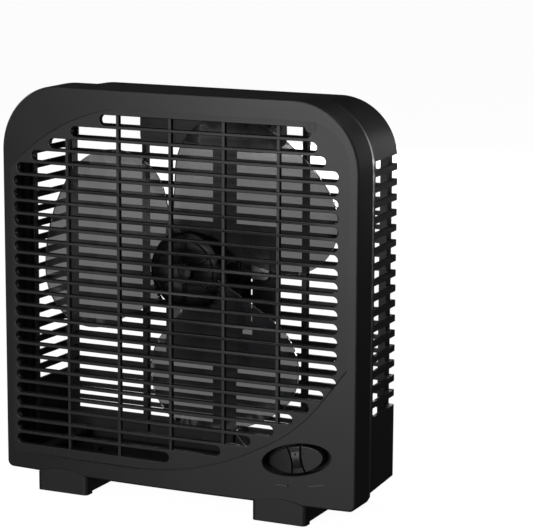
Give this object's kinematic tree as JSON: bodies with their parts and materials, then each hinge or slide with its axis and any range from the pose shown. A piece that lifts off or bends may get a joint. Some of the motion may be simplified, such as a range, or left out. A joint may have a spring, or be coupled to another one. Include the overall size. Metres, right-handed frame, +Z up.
{
  "type": "box_fan",
  "caption": "Small table box fan: squarish slatted case with a bowed front, louvred sides, three-bladed impeller with its motor, oval slide selector and two feet.",
  "frame": {"origin": "bottom centre of the overall box, on the surface the feet stand on", "axes": "-Y towards the bowed front face, +Z up, +X to the right as seen from the front"},
  "size_m": [0.3, 0.0953, 0.3205],
  "materials": {
    "charcoal_plastic": "satin moulded",
    "smoke_plastic": "clear smoke-grey moulded",
    "knob_plastic": "fine satin",
    "mark_plastic": "pale printed marks",
    "pad_rubber": "matt",
    "ground_steel": "ground",
    "zinc_steel": "zinc plated",
    "core_steel": "laminated, oiled",
    "rotor_aluminium": "die cast",
    "bearing_bronze": "sintered bronze and copper",
    "washer_nylon": "natural nylon",
    "coil_tape": "wrapped in polyester tape",
    "switch_plastic": "moulded thermoset",
    "lead_sleeve": "vinyl sleeve"
  },
  "bodies": {
    "housing": {"bracket_screws": "zinc_steel", "case_screws": "zinc_steel", "clamp_screws": "zinc_steel", "coil_bobbin": "washer_nylon", "cord_clamp": "washer_nylon", "cord_gland": "pad_rubber", "foot_screws": "zinc_steel", "front_bearing": "bearing_bronze", "front_bearing_bracket": "rotor_aluminium", "front_shell": "charcoal_plastic", "lead_clips": "washer_nylon", "left_foot": "charcoal_plastic", "left_foot_pad": "pad_rubber", "motor_bolts": "zinc_steel", "motor_coil": "coil_tape", "motor_core": "core_steel", "motor_cushions": "pad_rubber", "motor_lead": "lead_sleeve", "motor_nuts": "zinc_steel", "mount_screws": "zinc_steel", "rear_bearing": "bearing_bronze", "rear_bearing_bracket": "rotor_aluminium", "rear_shell": "charcoal_plastic", "right_foot": "charcoal_plastic", "right_foot_pad": "pad_rubber", "selector_bracket": "zinc_steel", "selector_marks": "mark_plastic", "selector_well": "charcoal_plastic", "shading_rings": "bearing_bronze", "slide_switch": "switch_plastic", "switch_tabs": "bearing_bronze"},
    "rotor": {"impeller": "smoke_plastic", "hub_cap": "knob_plastic", "motor_shaft": "ground_steel", "motor_rotor": "rotor_aluminium", "thrust_washers": "washer_nylon"},
    "selector": {"speed_knob": "knob_plastic"}
  },
  "joints": [
    {"name": "impeller_spin", "type": "hinge", "parent": "housing", "child": "rotor", "pos_m": [0, 0, 0.182], "axis": [0, 1, 0], "continuous": true},
    {"name": "selector_slide", "type": "slide", "parent": "housing", "child": "selector", "axis": [0.9793, 0.0523, 0.1957], "range_m": [-0.006, 0.006]}
  ]
}
